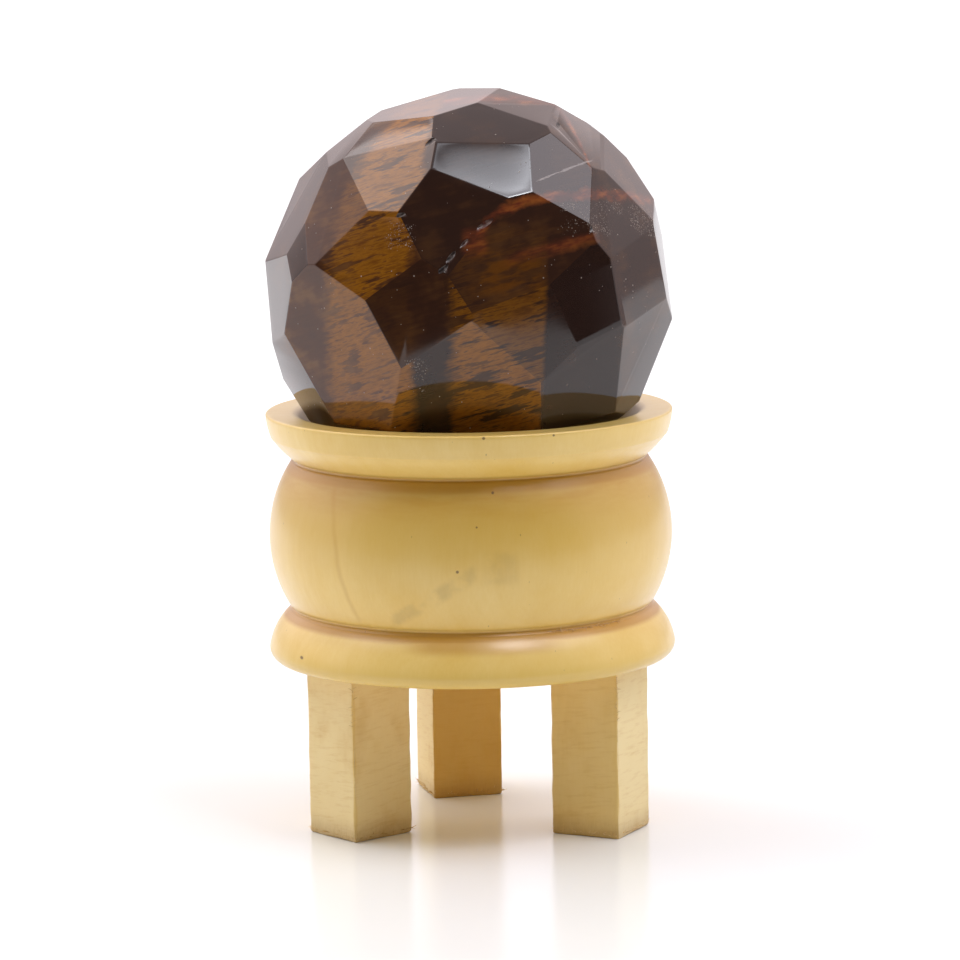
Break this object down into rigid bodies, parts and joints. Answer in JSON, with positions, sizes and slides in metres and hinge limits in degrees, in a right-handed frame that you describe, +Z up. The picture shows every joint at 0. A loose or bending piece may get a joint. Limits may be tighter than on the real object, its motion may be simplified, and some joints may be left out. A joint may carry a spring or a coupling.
{
  "type": "decorative sphere",
  "caption": "Hand-faceted tiger's eye ball resting in the dished top of a small turned pale wood stand on square feet",
  "frame": {"origin": "on the ground, under the axis of the turned stand, at the middle of the bounding box's bottom", "axes": "+Z up along the stand's axis; -Y is the front, from which the facets were read; +X to the right"},
  "size_m": [0.051, 0.0514, 0.092],
  "materials": {
    "tigers_eye": "polished",
    "turned_wood": "satin",
    "sawn_wood": "matte"
  },
  "bodies": {
    "root": {"ball": "tigers_eye", "stand_body": "turned_wood", "foot_left": "sawn_wood", "foot_right": "sawn_wood", "foot_back": "sawn_wood"}
  },
  "joints": []
}
